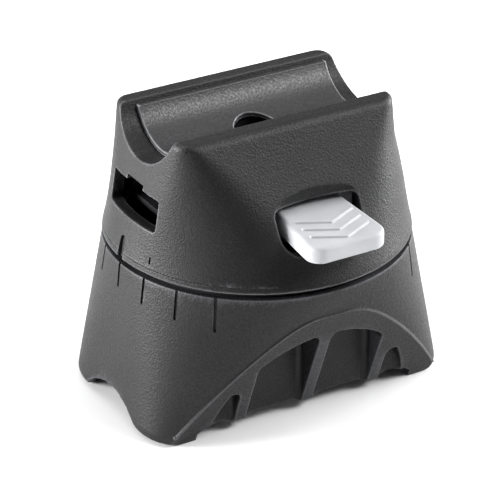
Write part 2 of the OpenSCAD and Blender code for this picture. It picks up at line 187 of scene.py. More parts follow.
def mark_edges(solid, spread=3):
    """Stores how sharply the surface bends at each point, convex above 0 and hollow below; the nylon
    materials turn it into a painted highlight on convex edges.
    """
    mesh = solid.data
    count = len(mesh.vertices)
    place, facing = np.empty(count * 3, "f"), np.empty(count * 3, "f")
    mesh.vertices.foreach_get("co", place)
    mesh.vertex_normals.foreach_get("vector", facing)
    ends = np.empty(len(mesh.edges) * 2, "i")
    mesh.edges.foreach_get("vertices", ends)
    place, facing, ends = place.reshape(-1, 3), facing.reshape(-1, 3), ends.reshape(-1, 2)
    step, tilt = place[ends[:, 1]] - place[ends[:, 0]], facing[ends[:, 1]] - facing[ends[:, 0]]
    bend = (tilt * step).sum(1) / np.maximum((step * step).sum(1), 0.01)
    links = np.bincount(ends.ravel(), minlength=count)
    value = np.bincount(ends.ravel(), np.repeat(bend, 2), count) / np.maximum(links, 1)
    for _ in range(spread):
        near = (np.bincount(ends[:, 0], value[ends[:, 1]], count)
                + np.bincount(ends[:, 1], value[ends[:, 0]], count))
        value = (value + near) / (links + 1)
    mesh.attributes.new("painted_edge_highlight", "FLOAT", "POINT").data.foreach_set("value", value.astype("f"))


def finish_piece(solid, body, material, angle=35, replaces=()):
    """Brings a piece to metres, stores its bend for the painted edge highlight, shades it, gives it its
    material and its body, and hides the CAD parts it replaces.
    """
    mark_edges(solid)
    solid.data.transform(Matrix.Scale(MM, 4))
    solid.data.shade_smooth()
    solid.data.set_sharp_from_angle(angle=math.radians(angle))
    solid.data.materials.clear()
    solid.data.materials.append(material)
    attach(solid, body)
    if replaces:
        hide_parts(*replaces)
    return solid


def base_ring(z, inset=0.0):
    share = (base_top - z) / base_top
    return outline(seam_r + (foot_len - seam_r) * share - inset, seam_r + (foot_wid - seam_r) * share - inset,
                   seam_r + (foot_corner - seam_r) * share - inset, z)


foot_rise_z, foot_inset = 2.6, 2.2
rings = []
for i in range(10):
    angle = math.radians(10 * i)
    rings.append(base_ring(foot_rise_z * (1 - math.cos(angle)), foot_inset * (1 - math.sin(angle))))
rings += [base_ring(foot_rise_z + (base_top - foot_rise_z) * i / 36) for i in range(37)]
base = skin("base_shell", rings)

# leaning faces at front and back, and the cored pockets behind them
lean = math.tan(math.radians(21.6))
lean_y = 18.2
pocket_top, pocket_half, core_y = 20.3, 21.9, 18.4
pocket_r = (pocket_half ** 2 + pocket_top ** 2) / (2 * pocket_top)
pocket_mid_z = pocket_top - pocket_r
rib_half = 1.25
rib_x = [-15.0, 0.0, 15.0]


def rounded(points, radii, steps=6):
    """The outline with each corner turned into an arc of its own radius."""
    found = []
    count = len(points)
    for i, radius in enumerate(radii):
        here = Vector(points[i])
        to_last = (Vector(points[i - 1]) - here).normalized()
        to_next = (Vector(points[(i + 1) % count]) - here).normalized()
        half = to_last.angle(to_next) / 2
        if radius <= 0 or half > math.radians(88):
            found.append(tuple(here))
            continue
        start = here + to_last * (radius / math.tan(half))
        end = here + to_next * (radius / math.tan(half))
        centre = here + (to_last + to_next).normalized() * (radius / math.sin(half))
        a, b = start - centre, end - centre
        sweep = math.pi - 2 * half
        for k in range(steps + 1):
            f = k / steps
            p = (a * math.sin((1 - f) * sweep) + b * math.sin(f * sweep)) / math.sin(sweep)
            found.append(tuple(centre + p))
    return found


def pocket(left, right, side):
    """One cored pocket between two ribs, with a round roof and soft inner corners."""
    rings = []
    for angle in range(0, 91, 15):
        shrink = 1.1 * (1 - math.sin(math.radians(angle)))
        depth = core_y + 1.1 * (1 - math.cos(math.radians(angle)))
        x0, x1, r = left + shrink, right - shrink, pocket_r - shrink
        roof = [(x0 + (x1 - x0) * i / 10, pocket_mid_z + math.sqrt(r * r - (x0 + (x1 - x0) * i / 10) ** 2))
                for i in range(11)]
        roof[0], roof[-1] = (x0, roof[0][1]), (x1, roof[-1][1])
        corner = max(0.4, 1.7 - shrink)
        points = rounded([(x0, -6)] + roof + [(x1, -6)], [0] + [corner] + [0] * 9 + [corner] + [0])
        rings.append([(x, side * depth, z) for x, z in points])
    rings.append([(x, side * 40, z) for x, _, z in rings[-1]])
    return skin("cutter", rings)


# the underside between the feet is raised, and dips at each rib
sole_points = [(-24.0, -3), (-24.0, 1.6), (-22.4, 2.8)]
for x in rib_x:
    sole_points += [(x - 3.2, 2.8), (x - 1.6, 2.25), (x + 1.6, 2.25), (x + 3.2, 2.8)]
sole_points += [(22.4, 2.8), (24.0, 1.6), (24.0, -3)]

# tube saddle
saddle_r, saddle_z = 13.9, -8.6

cutters = [prism([(side * (lean_y - 2 * lean), -2), (side * (lean_y + 40 * lean), 40), (side * 70, 40),
                  (side * 70, -2)], -40, 40, "x") for side in (-1, 1)]
edges = [-pocket_half + 0.7, rib_x[0] - rib_half, rib_x[0] + rib_half, -rib_half, rib_half,
         rib_x[2] - rib_half, rib_x[2] + rib_half, pocket_half - 0.7]
for side in (-1, 1):
    cutters += [pocket(edges[i], edges[i + 1], side) for i in (0, 2, 4, 6)]
cutters.append(prism(sole_points, -40, 40, "y"))
cutters.append(bore(saddle_r, -45, 45, 128, "x", (0, 0, saddle_z)))

# seats for the seal, the thrust washer, the pivot and the stop pin's curved track
seat_top = 33
for r_in, r_out, floor_z in ((26.4, 28.6, 29.2), (18.2, 24.6, 30.6)):
    cutters.append(hoop("cutter", [(r_in, floor_z), (r_out, floor_z), (r_out, seat_top), (r_in, seat_top)]))
sleeve_bore, screw_bore = 3.55, 2.7
cutters.append(bore(sleeve_bore, 20, seat_top))
cutters.append(bore(screw_bore, -1, seat_top))
nut_r = 4.74
cutters.append(prism([on_circle(nut_r, 60 * k) for k in range(6)], -1, 12.0))
pin_r, track_half, track_z, track_turn = 13, 1.8, 28.4, 46
track = [on_circle(pin_r + track_half, k) for k in range(-track_turn, track_turn + 1, 2)]
track += [on_circle(pin_r - track_half, k) for k in range(track_turn, -track_turn - 1, -2)]
cutters.append(prism(track, track_z, seat_top))
for k in (-track_turn, track_turn):
    cutters.append(bore(track_half, track_z, seat_top, 32, centre=(*on_circle(pin_r, k), 0)))
join(base, cutters)


def skin_y(x, z):
    """How far out the front of the base's skin lies at this place along it."""
    front = sorted((p[0], -p[1]) for p in base_ring(z) if p[1] < 0)
    return float(np.interp(x, [p[0] for p in front], [p[1] for p in front]))


# a fine raised edge where each leaning face meets the skin, as the mould's two halves leave it
bead_r = 0.3
edge_path = []
for i in range(-48, 49):
    x = 29.3 * math.sin(math.radians(90 * i / 48))
    low, high = 2.4, 26.5
    for _ in range(14):
        z = (low + high) / 2
        low, high = (z, high) if skin_y(x, z) > lean_y + lean * z else (low, z)
    edge_path.append(Vector((x, -(lean_y + lean * low), low)))
for side in (-1, 1):
    rows = []
    for i, here in enumerate(edge_path):
        along = (edge_path[min(i + 1, 96)] - edge_path[max(i - 1, 0)]).normalized()
        out = Vector((0, -1, -lean)).normalized()
        over = along.cross(out).normalized()
        turns = [2 * math.pi * k / 8 for k in range(8)]
        rows.append([tuple(here + (out * math.cos(t) + over * math.sin(t)) * bead_r) for t in turns])
    rows = [[(x, side * -y, z) for x, y, z in row] for row in rows]
    join(base, [skin("raised_edge", rows)], "UNION")
mould(base, 0.16, 3, 190000)


def reach(half_len, half_wid, corner, angle):
    """How far a rounded rectangle's corner arc lies from the axis in a direction."""
    cx, cy = half_len - corner, half_wid - corner
    along = cx * abs(math.cos(angle)) + cy * abs(math.sin(angle))
    return along + math.sqrt(max(0.0, along * along - cx * cx - cy * cy + corner * corner))


def base_reach(z, angle):
    share = (base_top - z) / base_top
    return reach(seam_r + (foot_len - seam_r) * share, seam_r + (foot_wid - seam_r) * share,
                 seam_r + (foot_corner - seam_r) * share, angle)


# index marks, cut after the casting so that they stay crisp
marks = []
for side in (0, 180):
    for k in range(-3, 4):
        angle = math.radians(side + 15 * k)
        length = 5 + 1.7 * (k / 3) ** 2
        low, high = base_top - length, base_top + 1
        r_low, r_high = base_reach(low, angle) - 0.45, base_reach(base_top, angle) - 0.45
        across = Vector((-math.sin(angle), math.cos(angle), 0))
        out = Vector((math.cos(angle), math.sin(angle), 0))
        rings = []
        for f, half in ((0, 0.12), (0.02, 0.24), (0.06, 0.32), (0.5, 0.36), (1, 0.38)):
            z = low + (high - low) * f
            r = r_low + (r_high - r_low) * f
            middle = out * r + Vector((0, 0, z))
            rings.append([tuple(middle - across * half * 0.8), tuple(middle + across * half * 0.8),
                          tuple(middle + across * half * 1.2 + out * 2),
                          tuple(middle - across * half * 1.2 + out * 2)])
        marks.append(skin("cutter", rings))
join(base, marks)


def hexed(code):
    """An sRGB hex colour as Blender's linear colour."""
    channels = [int(code[i:i + 2], 16) / 255 for i in (1, 3, 5)]
    return tuple(c / 12.92 if c <= 0.04045 else ((c + 0.055) / 1.055) ** 2.4 for c in channels) + (1.0,)


def add(tree, kind, settings=None, inputs=None, stops=()):
    """Adds a node. settings are its properties, inputs are values or the sockets that feed it, and stops are
    a colour ramp's (place, colour) pairs."""
    made = tree.nodes.new(kind)
    for name, value in (settings or {}).items():
        setattr(made, name, value)
    for name, value in (inputs or {}).items():
        if isinstance(value, bpy.types.NodeSocket):
            tree.links.new(value, made.inputs[name])
        else:
            made.inputs[name].default_value = value
    for k, (place, colour) in enumerate(stops):
        made.color_ramp.elements[k].position = place
        made.color_ramp.elements[k].color = colour
    return made


def blank(name):
    """A new material with nothing but its output node."""
    material = bpy.data.materials.new(name)
    material.use_nodes = True
    tree = material.node_tree
    tree.nodes.clear()
    return material, tree, tree.nodes.new("ShaderNodeOutputMaterial")


# Glass-filled nylon from a spark-eroded mould: near black and satin, with a pebbled grain of about 0.3 mm,
# drawn a little coarser than life so that it shows. Convex edges are painted lighter as a highlight, from the
# bend that mark_edges stores.
def moulded_nylon(name, dark, light, edge, rough=0.5, grain_mm=0.36, height_mm=0.06, shift=0.0,
                  gloss=0.5):
    material, tree, out = blank(name)
    place = add(tree, "ShaderNodeTexCoord").outputs["Object"]
    moved = add(tree, "ShaderNodeVectorMath", {"operation": "ADD"},
                {0: place, 1: (shift, shift, 0)}).outputs[0]
    cloud = add(tree, "ShaderNodeTexNoise", {}, {"Vector": moved, "Scale": 1 / (9 * MM), "Detail": 4.0})
    grain = add(tree, "ShaderNodeTexNoise", {}, {"Vector": moved, "Scale": 1 / (grain_mm * MM), "Detail": 2.0,
                                                 "Roughness": 0.65})
    pebble = add(tree, "ShaderNodeTexVoronoi", {"feature": "SMOOTH_F1"},
                 {"Vector": moved, "Scale": 1 / (grain_mm * MM)})
    painted_edge_highlight = add(tree, "ShaderNodeAttribute", {"attribute_name": "painted_edge_highlight"}).outputs["Fac"]
    base_tone = add(tree, "ShaderNodeValToRGB", {}, {"Fac": cloud.outputs["Fac"]},
                    [(0.3, hexed(dark)), (0.7, hexed(light))])
    fleck = add(tree, "ShaderNodeValToRGB", {}, {"Fac": grain.outputs["Fac"]},
                [(0.33, (0.4, 0.4, 0.4, 1)), (0.67, (2.1, 2.1, 2.1, 1))])
    tone = add(tree, "ShaderNodeMix", {"data_type": "RGBA", "blend_type": "MULTIPLY"},
               {"Factor": 1.0, "A": base_tone.outputs["Color"], "B": fleck.outputs["Color"]})
    # painted highlight: convex edges, by their stored bend, are mixed towards the edge colour, broken up by
    # the grain
    highlight_and_grain = add(tree, "ShaderNodeMath", {"operation": "MULTIPLY_ADD"},
                {0: grain.outputs["Fac"], 1: 0.8, 2: painted_edge_highlight})
    painted_highlight_share = add(tree, "ShaderNodeMapRange", {}, {
        "Value": highlight_and_grain.outputs[0], "From Min": 0.75, "From Max": 2.2, "To Max": 0.85})
    colour = add(tree, "ShaderNodeMix", {"data_type": "RGBA"},
                 {"Factor": painted_highlight_share.outputs["Result"], "A": tone.outputs["Result"], "B": hexed(edge)})
    sheen = add(tree, "ShaderNodeMapRange", {}, {
        "Value": grain.outputs["Fac"], "From Min": 0.3, "From Max": 0.7, "To Min": rough + 0.08,
        "To Max": rough - 0.1})
    relief = add(tree, "ShaderNodeMath", {"operation": "ADD"},
                 {0: grain.outputs["Fac"], 1: pebble.outputs["Distance"]})
    bump = add(tree, "ShaderNodeBump", {},
               {"Height": relief.outputs[0], "Strength": 0.8, "Distance": height_mm * MM})
    shader = add(tree, "ShaderNodeBsdfPrincipled", {}, {
        "Base Color": colour.outputs["Result"], "Roughness": sheen.outputs["Result"],
        "Normal": bump.outputs["Normal"],
        "IOR": 1.53, "Specular IOR Level": gloss})
    tree.links.new(shader.outputs["BSDF"], out.inputs["Surface"])
    return material


# the third colour is the painted edge highlight on the base's convex edges
base_nylon = moulded_nylon("glass_filled_nylon_base", "#0d0d0e", "#131314", "#56565a", gloss=0.25)
finish_piece(base, "base", base_nylon, replaces=["base_body"])


# ---- Saddle pad ----
# A strip of black rubber bonded into the arch under the base, so that it grips the frame tube without
# marking it. Its inner face has fine ribs along the tube, and a hole lets the nut be reached.

pad_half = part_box("frame_pad")[1].x / MM
pad_mid_z, pad_in, pad_out = -8.6, 12.7, 13.85
pad_points = [(pad_out * math.sin(math.radians(k)), pad_mid_z + pad_out * math.cos(math.radians(k)))
              for k in range(-40, 41, 2)]
for k in range(160, -161, -4):
    radius = pad_in + (0.0 if k // 4 % 4 in (0, 1) else 0.45)
    angle = math.radians(k / 4)
    pad_points.append((radius * math.sin(angle), pad_mid_z + radius * math.cos(angle)))
pad = prism(pad_points, -pad_half, pad_half, "x")
pad.name = "saddle_pad"
join(pad, [bore(5.6, -5, 12)])


# Black rubber, moulded with a matt skin: soft broad highlights, a little grey bloom and talc in patches.
def moulded_rubber(name, dark, bloom):
    material, tree, out = blank(name)
    place = add(tree, "ShaderNodeTexCoord").outputs["Object"]
    patch = add(tree, "ShaderNodeTexNoise", {}, {"Vector": place, "Scale": 1 / (6 * MM), "Detail": 5.0})
    grit = add(tree, "ShaderNodeTexNoise", {}, {"Vector": place, "Scale": 1 / (0.25 * MM), "Detail": 2.0})
    tone = add(tree, "ShaderNodeValToRGB", {}, {"Fac": patch.outputs["Fac"]},
               [(0.4, hexed(dark)), (0.75, hexed(bloom))])
    sheen = add(tree, "ShaderNodeMapRange", {}, {
        "Value": patch.outputs["Fac"], "From Min": 0.3, "From Max": 0.7, "To Min": 0.62, "To Max": 0.8})
    bump = add(tree, "ShaderNodeBump", {},
               {"Height": grit.outputs["Fac"], "Strength": 0.4, "Distance": 0.02 * MM})
    shader = add(tree, "ShaderNodeBsdfPrincipled", {}, {
        "Base Color": tone.outputs["Color"], "Roughness": sheen.outputs["Result"],
        "Normal": bump.outputs["Normal"],
        "IOR": 1.52, "Specular IOR Level": 0.35})
    tree.links.new(shader.outputs["BSDF"], out.inputs["Surface"])
    return material


pad_rubber = moulded_rubber("black_moulded_rubber", "#141415", "#232324")
finish_piece(pad, "base", pad_rubber, 25, ["frame_pad"])


# ---- Clamp screw, nut, sleeve and washers ----
# An M5 socket screw in black oxide holds the two halves together: it runs down a plated sleeve into a captive
# nut in the base. A plain washer and a split spring washer under its head keep the swivel's friction even.

nut_low, nut_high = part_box("captive_nut")
nut_z, nut_h, across = nut_low.z / MM, (nut_high.z - nut_low.z) / MM, 8.0
nut = prism([on_circle(across / math.sqrt(3), 60 * k) for k in range(6)], nut_z, nut_z + nut_h)
nut.name = "hexagon_nut"
nut_top, face_r, point_r = nut_z + nut_h, across / 2 - 0.1, across / 2 + 0.8
join(nut, [lathe("chamfer", [(0, nut_z), (face_r, nut_z), (point_r, nut_z + 0.5), (point_r, nut_top - 0.5),
                             (face_r, nut_top), (0, nut_top)], 96)], "INTERSECT")
thread_r, lead_in_r = 2.55, 2.95
join(nut, [lathe("cutter", [(0, nut_z - 1), (lead_in_r, nut_z - 1), (lead_in_r, nut_z),
                            (thread_r, nut_z + 0.4), (thread_r, nut_top - 0.4), (lead_in_r, nut_top),
                            (lead_in_r, nut_top + 1), (0, nut_top + 1)], 64)])

screw_low, screw_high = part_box("pivot_screw")
head_r, head_top = screw_high.x / MM, screw_high.z / MM
head_low = head_top - 5.0
shank_r, tip_z = 2.5, screw_low.z / MM
screw_profile = [(0, tip_z), (2.1, tip_z), (shank_r, tip_z + 0.5), (shank_r, head_low),
                 (head_r - 0.15, head_low), (head_r, head_low + 0.15)]
for k in range(12):
    screw_profile += [(head_r, head_low + 0.3 + 0.3 * k)]
screw_profile += [(head_r, head_top - 0.6), (head_r - 0.12, head_top - 0.25), (head_r - 0.45, head_top),
                  (0, head_top)]
screw = lathe("clamp_screw", screw_profile, 96)
socket_r = 4.0 / math.sqrt(3)
socket_steps = ((0.96, head_low + 2.5), (1.0, head_low + 2.6), (1.0, head_top - 0.25),
                (1.16, head_top + 0.05), (1.16, head_top + 2))
join(screw, [skin("cutter", [[(*on_circle(socket_r * grow, 60 * k), z) for k in range(6)]
                             for grow, z in socket_steps])])


# Steel, turned or rolled, then coated. The tool's rings run round the axis, and are drawn over 1 mm apart,
# far coarser than life, so that they show.
def coated_steel(name, low, high, rough, metallic=1.0):
    material, tree, out = blank(name)
    place = add(tree, "ShaderNodeTexCoord").outputs["Object"]
    rings = add(tree, "ShaderNodeTexWave", {"wave_type": "RINGS", "rings_direction": "Z"}, {
        "Vector": place, "Scale": 1 / (4 * MM), "Distortion": 1.5, "Detail": 2.0})
    cloud = add(tree, "ShaderNodeTexNoise", {}, {"Vector": place, "Scale": 1 / (2.5 * MM), "Detail": 4.0})
    tone = add(tree, "ShaderNodeValToRGB", {}, {"Fac": cloud.outputs["Fac"]},
               [(0.3, hexed(low)), (0.7, hexed(high))])
    sheen = add(tree, "ShaderNodeMapRange", {}, {
        "Value": cloud.outputs["Fac"], "From Min": 0.3, "From Max": 0.7, "To Min": rough - 0.06,
        "To Max": rough + 0.08})
    bump = add(tree, "ShaderNodeBump", {},
               {"Height": rings.outputs["Fac"], "Strength": 0.25, "Distance": 0.01 * MM})
    shader = add(tree, "ShaderNodeBsdfPrincipled", {}, {
        "Base Color": tone.outputs["Color"], "Roughness": sheen.outputs["Result"],
        "Normal": bump.outputs["Normal"],
        "Metallic": metallic})
    tree.links.new(shader.outputs["BSDF"], out.inputs["Surface"])
    return material


def dress(node, material):
    """Gives a CAD node that keeps its own shape its material."""
    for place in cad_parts[node].material_slots:
        place.material = material


zinc_steel = coated_steel("bright_zinc_plated_steel", "#a9abac", "#c9cbcd", 0.34)
black_steel = coated_steel("black_oxide_steel", "#1d1d1f", "#2c2c2f", 0.42)
spring_steel = coated_steel("drawn_spring_steel", "#8f9194", "#aaacb0", 0.3)
finish_piece(nut, "base", zinc_steel, 25, ["captive_nut"])
finish_piece(screw, "base", black_steel, 25, ["pivot_screw"])
dress("pivot_sleeve", zinc_steel)
dress("head_washer", zinc_steel)
dress("spring_washer", spring_steel)


# ---- Thrust washer and seal ----
# A flat acetal washer carries the turntable on the base. Outside it a thin rubber ring fills the seam and
# keeps grit out of the swivel.

# Natural acetal, turned from rod: waxy off-white, a soft sheen and faint rings.
def turned_acetal(name):
    material, tree, out = blank(name)
    place = add(tree, "ShaderNodeTexCoord").outputs["Object"]
    cloud = add(tree, "ShaderNodeTexNoise", {}, {"Vector": place, "Scale": 1 / (7 * MM), "Detail": 3.0})
    rings = add(tree, "ShaderNodeTexWave", {"wave_type": "RINGS", "rings_direction": "Z"}, {
        "Vector": place, "Scale": 1 / (6 * MM), "Distortion": 0.6})
    tone = add(tree, "ShaderNodeValToRGB", {}, {"Fac": cloud.outputs["Fac"]},
               [(0.3, hexed("#d9d6cd")), (0.7, hexed("#e6e4dc"))])
    sheen = add(tree, "ShaderNodeMapRange", {},
                {"Value": rings.outputs["Fac"], "To Min": 0.36, "To Max": 0.46})
    bump = add(tree, "ShaderNodeBump", {},
               {"Height": rings.outputs["Fac"], "Strength": 0.2, "Distance": 0.01 * MM})
    shader = add(tree, "ShaderNodeBsdfPrincipled", {}, {
        "Base Color": tone.outputs["Color"], "Roughness": sheen.outputs["Result"],
        "Normal": bump.outputs["Normal"],
        "IOR": 1.48, "Subsurface Weight": 0.15, "Subsurface Radius": (1.0, 0.95, 0.85),
        "Subsurface Scale": 0.8 * MM})
    tree.links.new(shader.outputs["BSDF"], out.inputs["Surface"])
    return material


acetal = turned_acetal("natural_acetal")
seal_rubber = moulded_rubber("black_seal_rubber", "#0a0a0b", "#111112")
dress("thrust_washer", acetal)
dress("seal_ring", seal_rubber)


# ---- Latch housing ----
# The upper half turns on the base. It is a hollow moulding in the same nylon, round at the seam and drawn in
# to two walls on either side of the trough. The tongue slot, the tab's window and the pointer are cut in it.

house_low, house_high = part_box("latch_housing")
rim_z = house_low.z / MM
crown_z = house_high.z / MM
tall = crown_z - rim_z
crown_len, crown_wid, crown_corner, wall = 23.8, 13.6, 2.6, 2.4
hollow_top = rim_z + 16.3


def house_size(z):
    t = (z - rim_z) / tall
    share = t * t * 1.06 / (t + 0.06)
    return (seam_r + (crown_len - seam_r) * share ** 0.85, seam_r + (crown_wid - seam_r) * share ** 0.9,
            seam_r + (crown_corner - seam_r) * share)


def house_ring(z, inset=0.0):
    """The housing's outline, drawn in a little near the crown at the end away from the slot."""
    a, b, r = house_size(z)
    draw = 1.1 * min(1.0, max(0.0, ((z - rim_z) / tall - 0.3) / 0.4)) ** 1.5
    return [(x - draw * max(0.0, x / a), y, z) for x, y, z in outline(a - inset, b - inset, r - inset, z)]


crown_fillet = 1.3
rings = [house_ring(rim_z + (crown_z - crown_fillet - rim_z) * i / 60) for i in range(61)]
for i in range(1, 10):
    angle = math.radians(10 * i)
    rings.append(house_ring(crown_z - crown_fillet * (1 - math.sin(angle)), 1.0 * (1 - math.cos(angle))))
house = skin("housing_shell", rings)
hollow = skin("cutter", [[(x, y, rim_z - 3) for x, y, _ in house_ring(rim_z, wall)]]
              + [house_ring(rim_z + (hollow_top - rim_z) * i / 20, wall) for i in range(21)])
join(house, [hollow])

# the pivot's boss and the four bosses for the turntable's screws
bosses = [bore(7.5, 36.5, 50.4)]
fix_r, fix_boss_r, fix_hole_r = 22, 2.8, 1.45
fix_at = [on_circle(fix_r, 45 + 90 * k) for k in range(4)]
for x, y in fix_at:
    bosses.append(bore(fix_boss_r, 35.0, rim_z + 12.4, 32, centre=(x, y, 0)))
join(house, bosses, "UNION")

trough_z, trough_r = 62.8, 10.9
cutters = [bore(trough_r, -40, 40, 192, "x", (0, 0, trough_z))]

# keyed slot for the lock's tongue
slot_low, slot_high, slot_half = 40.7, 47.0, 8.6
slot_points = rounded([(-slot_half, slot_low), (slot_half, slot_low), (slot_half, slot_high), (3, slot_high),
                       (3, slot_high + 1), (-3, slot_high + 1), (-3, slot_high), (-slot_half, slot_high)],
                      [0.8, 0.8, 0.5, 0, 0.2, 0.2, 0, 0.5])
cutters.append(prism(slot_points, -40, -16.1, "x"))

# window round the tab, and the shallow thumb relief above it
window_half, window_low, window_top = 9.0, 38.2, 46.1
window_points = rounded([(-window_half, window_low), (window_half, window_low), (window_half, window_top),
                         (-window_half, window_top)], [3.8, 3.8, 1.0, 1.0])
cutters.append(prism(window_points, -40, -16.0, "y"))
wall_y = house_size(window_top)[1]
wall_lean = math.atan((house_size(window_top - 1)[1] - house_size(window_top + 1)[1]) / 2)
out = Vector((0, -math.cos(wall_lean), math.sin(wall_lean)))
up = Vector((0, math.sin(wall_lean), math.cos(wall_lean)))
scoop_deep = 4.0
scoop_mid = Vector((0, -wall_y, window_top)) + out * (scoop_deep - 1.15)
rings = []
for i in range(1, 24):
    lat = math.radians(-90 + 7.5 * i)
    rings.append([tuple(scoop_mid + out * (scoop_deep * math.sin(lat))
                        + (Vector((1, 0, 0)) * 12.4 * math.cos(2 * math.pi * k / 64)
                           + up * 3.9 * math.sin(2 * math.pi * k / 64)) * math.cos(lat)) for k in range(64)])
cutters.append(skin("cutter", rings))
well_r, well_z = 5.25, 44.3
cutters.append(bore(sleeve_bore, 30, 60))
cutters.append(bore(well_r, well_z, 60, 96))
for x, y in fix_at:
    cutters.append(bore(fix_hole_r, 32, 40.1, 24, centre=(x, y, 0)))
join(house, cutters)
mould(house, 0.16, 4, 190000)

# pointer groove, a small witness nick and the fine parting line over the rim
groove = []
for angle_deg, half, low, high, deep in ((180, 0.9, rim_z - 1, rim_z + 4.4, 0.5),
                                         (197, 0.22, rim_z + 2.0, rim_z + 3.4, 0.3)):
    angle = math.radians(angle_deg)
    out = Vector((math.cos(angle), math.sin(angle), 0))
    across = Vector((-math.sin(angle), math.cos(angle), 0))
    rings = []
    for f, share in ((0, 1.0), (0.8, 1.0), (0.93, 0.85), (1, 0.4)):
        z = low + (high - low) * f
        a, b, r = house_size(max(z, rim_z))
        middle = out * (reach(a, b, r, angle) - deep) + Vector((0, 0, z))
        rings.append([tuple(middle - across * half * share), tuple(middle + across * half * share),
                      tuple(middle + across * half * share * 1.15 + out * 2),
                      tuple(middle - across * half * share * 1.15 + out * 2)])
    groove.append(skin("cutter", rings))
line_z = rim_z + 1.15
line_r = house_size(line_z)[0]
groove.append(hoop("cutter", [(line_r - 0.14, line_z), (line_r + 0.6, line_z - 0.32),
                              (line_r + 0.6, line_z + 0.32)], 256))
join(house, groove)

# the third colour is the painted edge highlight on the housing's convex edges
housing_nylon = moulded_nylon("glass_filled_nylon_housing", "#0d0d0e", "#141415", "#5c5c5f", shift=0.03,
                              gloss=0.25)
finish_piece(house, "housing", housing_nylon, replaces=["latch_housing"])


# ---- Trough liner ----
# A half-round liner in a harder-wearing satin elastomer, pressed into the trough so that the lock's bar
# doesn't rattle. It stops short of both ends, and a hole in its floor gives access to the clamp screw.

liner_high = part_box("trough_liner")[1]
liner_len = liner_high.x / MM
liner_top = liner_high.z / MM
liner_out, liner_in, access_r = 10.84, 10, 4.4
liner = bore(liner_out, -liner_len, liner_len, 192, "x", (0, 0, trough_z), "bar_liner")
cutters = [bore(liner_in, -40, 40, 192, "x", (0, 0, trough_z)),
           prism([(-40, -40), (40, -40), (40, 40), (-40, 40)], liner_top, 90),
           bore(access_r, 40, 60, 96)]
join(liner, cutters)
mould(liner, 0.13, 2, 90000)
# the third colour is the painted edge highlight, which draws the bright line along the liner's convex edges
liner_elastomer = moulded_nylon("satin_elastomer_liner", "#1a1a1b", "#202022", "#8a8a8d", rough=0.44,
                                grain_mm=0.45, height_mm=0.04, shift=0.06, gloss=0.45)
finish_piece(liner, "housing", liner_elastomer, replaces=["trough_liner"])


# ---- Release tab ----
# The thumb tab, moulded in light grey acetal-like plastic. Three raised chevrons point outwards, and the
# block behind the window's edge keeps it in the housing.

tab_half, tab_neck, tab_nose, tab_corner, tab_low, tab_thick = 8.2, 6.8, 34.39, 3.0, 40.4, 3.2
tab_slope = math.tan(math.radians(4.4))
tab_root = 16.0


def tab_outline(inset, steps=14):
    """The tab seen from above, drawn in by inset."""
    half, corner = tab_half - inset, tab_corner - inset
    points = []
    for mid_x, start in ((corner - half, 180), (half - corner, 270)):
        for k in range(steps + 1):
            x, y = on_circle(corner, start + 90 * k / steps)
            points.append((mid_x + x, -tab_nose + inset + corner + y))
    points += [(tab_neck - inset, -tab_root), (inset - tab_neck, -tab_root)]
    return points


def tab_z(y, share):
    return tab_low + share * (tab_thick + (tab_nose + y) * tab_slope)


rings = []
edge = 0.8
for k in range(7):
    angle = math.radians(15 * k)
    inset = 0.5 * (1 - math.sin(angle))
    rings.append([(x, y, tab_low + 0.5 * (1 - math.cos(angle))) for x, y in tab_outline(inset)])
for k in range(7):
    angle = math.radians(15 * k)
    inset = edge * (1 - math.cos(angle))
    drop = edge * (1 - math.sin(angle))
    rings.append([(x, y, tab_z(y, 1) - drop) for x, y in tab_outline(inset)])
tab = skin("thumb_tab", rings)
extras = []
chevron_half, chevron_wide, chevron_tall, chevron_slant = 6.2, 0.7, 0.38, math.radians(24)
for k in range(3):
    apex = -(tab_nose - 1.5) + 2.8 * k
    arm = math.tan(chevron_slant)
    spine = [(-chevron_half, apex + chevron_half * arm), (0, apex), (chevron_half, apex + chevron_half * arm)]
    rings = []
    for share, grow in ((-1.5, 0.0), (0.0, 0.0), (0.7, -0.06), (1.0, -0.2)):
        ring = []
        for x, y in spine:
            ring.append((x, y - grow, tab_z(y, 1) + chevron_tall * share))
        for x, y in reversed(spine):
            ring.append((x, y + chevron_wide / math.cos(chevron_slant) + grow,
                         tab_z(y + chevron_wide, 1) + chevron_tall * share))
        rings.append(ring)
    extras.append(skin("ridge", rings))
shoe_points = rounded([(-10.6, 39.15), (10.6, 39.15), (10.6, 45.9), (-10.6, 45.9)], [0.5] * 4)
extras.append(prism(shoe_points, -17.4, -13.4, "y"))
join(tab, extras, "UNION")
coil_x, coil_z, cup_r, cup_floor_y = 7.9, 42.6, 2.7, -15.3
rivet_x, rivet_y, rivet_r, rivet_top = 3.4, -15.4, 1.15, 42.1
spring_seats = []
for x in (-coil_x, coil_x):
    cup = bore(cup_r, 0, 3, 48)
    cup.data.transform(Matrix.Translation((x, cup_floor_y, coil_z))
                       @ Matrix.Rotation(math.radians(-90), 4, "X"))
    spring_seats.append(cup)
for x in (-rivet_x, rivet_x):
    spring_seats.append(bore(rivet_r, 36, rivet_top, 32, centre=(x, rivet_y, 0)))
join(tab, spring_seats)
mould(tab, 0.1, 2, 120000)


